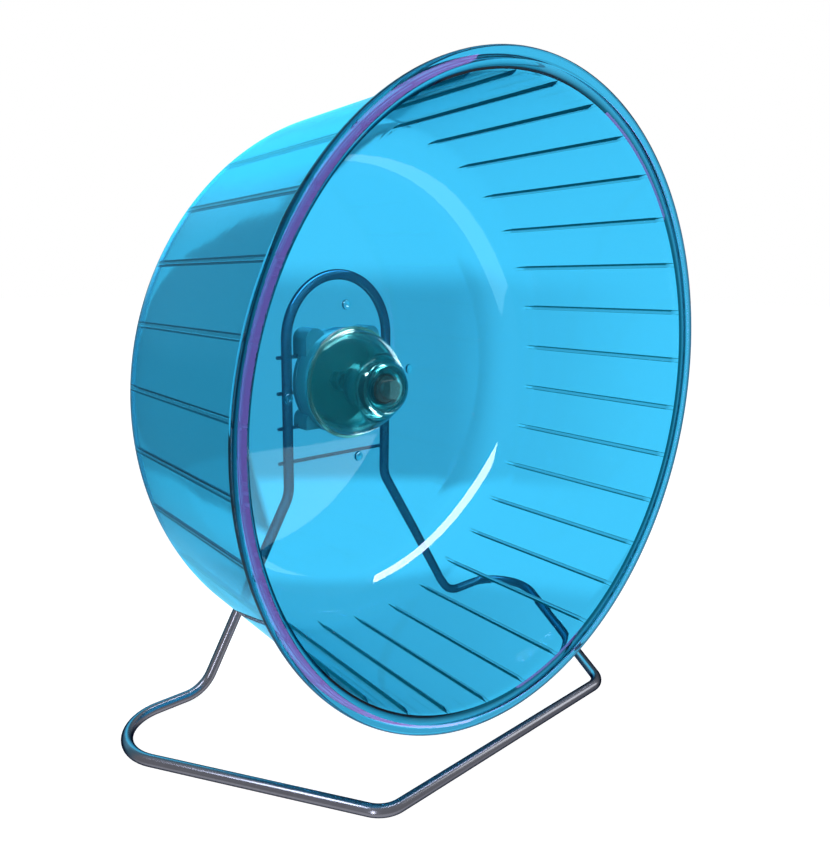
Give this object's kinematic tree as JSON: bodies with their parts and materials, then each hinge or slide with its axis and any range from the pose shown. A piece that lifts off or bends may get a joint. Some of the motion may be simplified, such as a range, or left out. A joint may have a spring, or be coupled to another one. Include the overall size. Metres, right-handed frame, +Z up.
{
  "type": "hamster wheel on a wire stand",
  "caption": "Open clear plastic running wheel with inner ribs and a bell-shaped hub, turning on an axle bolt clamped to a bent wire floor stand.",
  "frame": {"origin": "on the floor, under the middle of the whole object's box", "axes": "+Z up, -Y towards the wheel's open front, the axle runs along Y, X across"},
  "size_m": [0.2846, 0.1552, 0.2969],
  "materials": {
    "clear_blue_plastic": "gloss",
    "smoke_teal_plastic": "gloss",
    "grey_nylon": "satin",
    "steel_wire": "polished",
    "turned_steel": "satin",
    "zinc_steel": "satin"
  },
  "bodies": {
    "stand": {"stand_wire": "steel_wire", "cross_wire_1": "steel_wire", "cross_wire_2": "steel_wire", "cross_wire_3": "steel_wire", "cross_wire_4": "steel_wire", "mount_plate": "smoke_teal_plastic", "mount_cone": "smoke_teal_plastic", "axle_bolt": "turned_steel", "front_washer": "zinc_steel", "bearing_sleeve": "turned_steel", "thrust_washer": "zinc_steel", "spacer_tube": "turned_steel", "lock_washer": "zinc_steel", "lock_nut": "zinc_steel"},
    "wheel": {"drum": "clear_blue_plastic", "hub_bell": "smoke_teal_plastic", "hub_cap": "smoke_teal_plastic", "front_bush": "grey_nylon", "rear_bush": "grey_nylon"},
    "clamp": {"clamp_plate": "grey_nylon", "clamp_washer": "zinc_steel"},
    "nut": {"wing_nut": "zinc_steel"}
  },
  "joints": [
    {"name": "wheel_spin", "type": "hinge", "parent": "stand", "child": "wheel", "pos_m": [0, 0, 0.157], "axis": [0, 1, 0], "continuous": true},
    {"name": "clamp_slide", "type": "slide", "parent": "stand", "child": "clamp", "axis": [0, 1, 0], "range_m": [0, 0.005]},
    {"name": "wing_nut_turn", "type": "hinge", "parent": "clamp", "child": "nut", "pos_m": [0, 0.0655, 0.157], "axis": [0, 1, 0], "range_deg": [0, 1800]}
  ],
  "couplings": [
    {"joint": "wing_nut_turn", "follows": "clamp_slide", "rad_per_m": 6283}
  ]
}
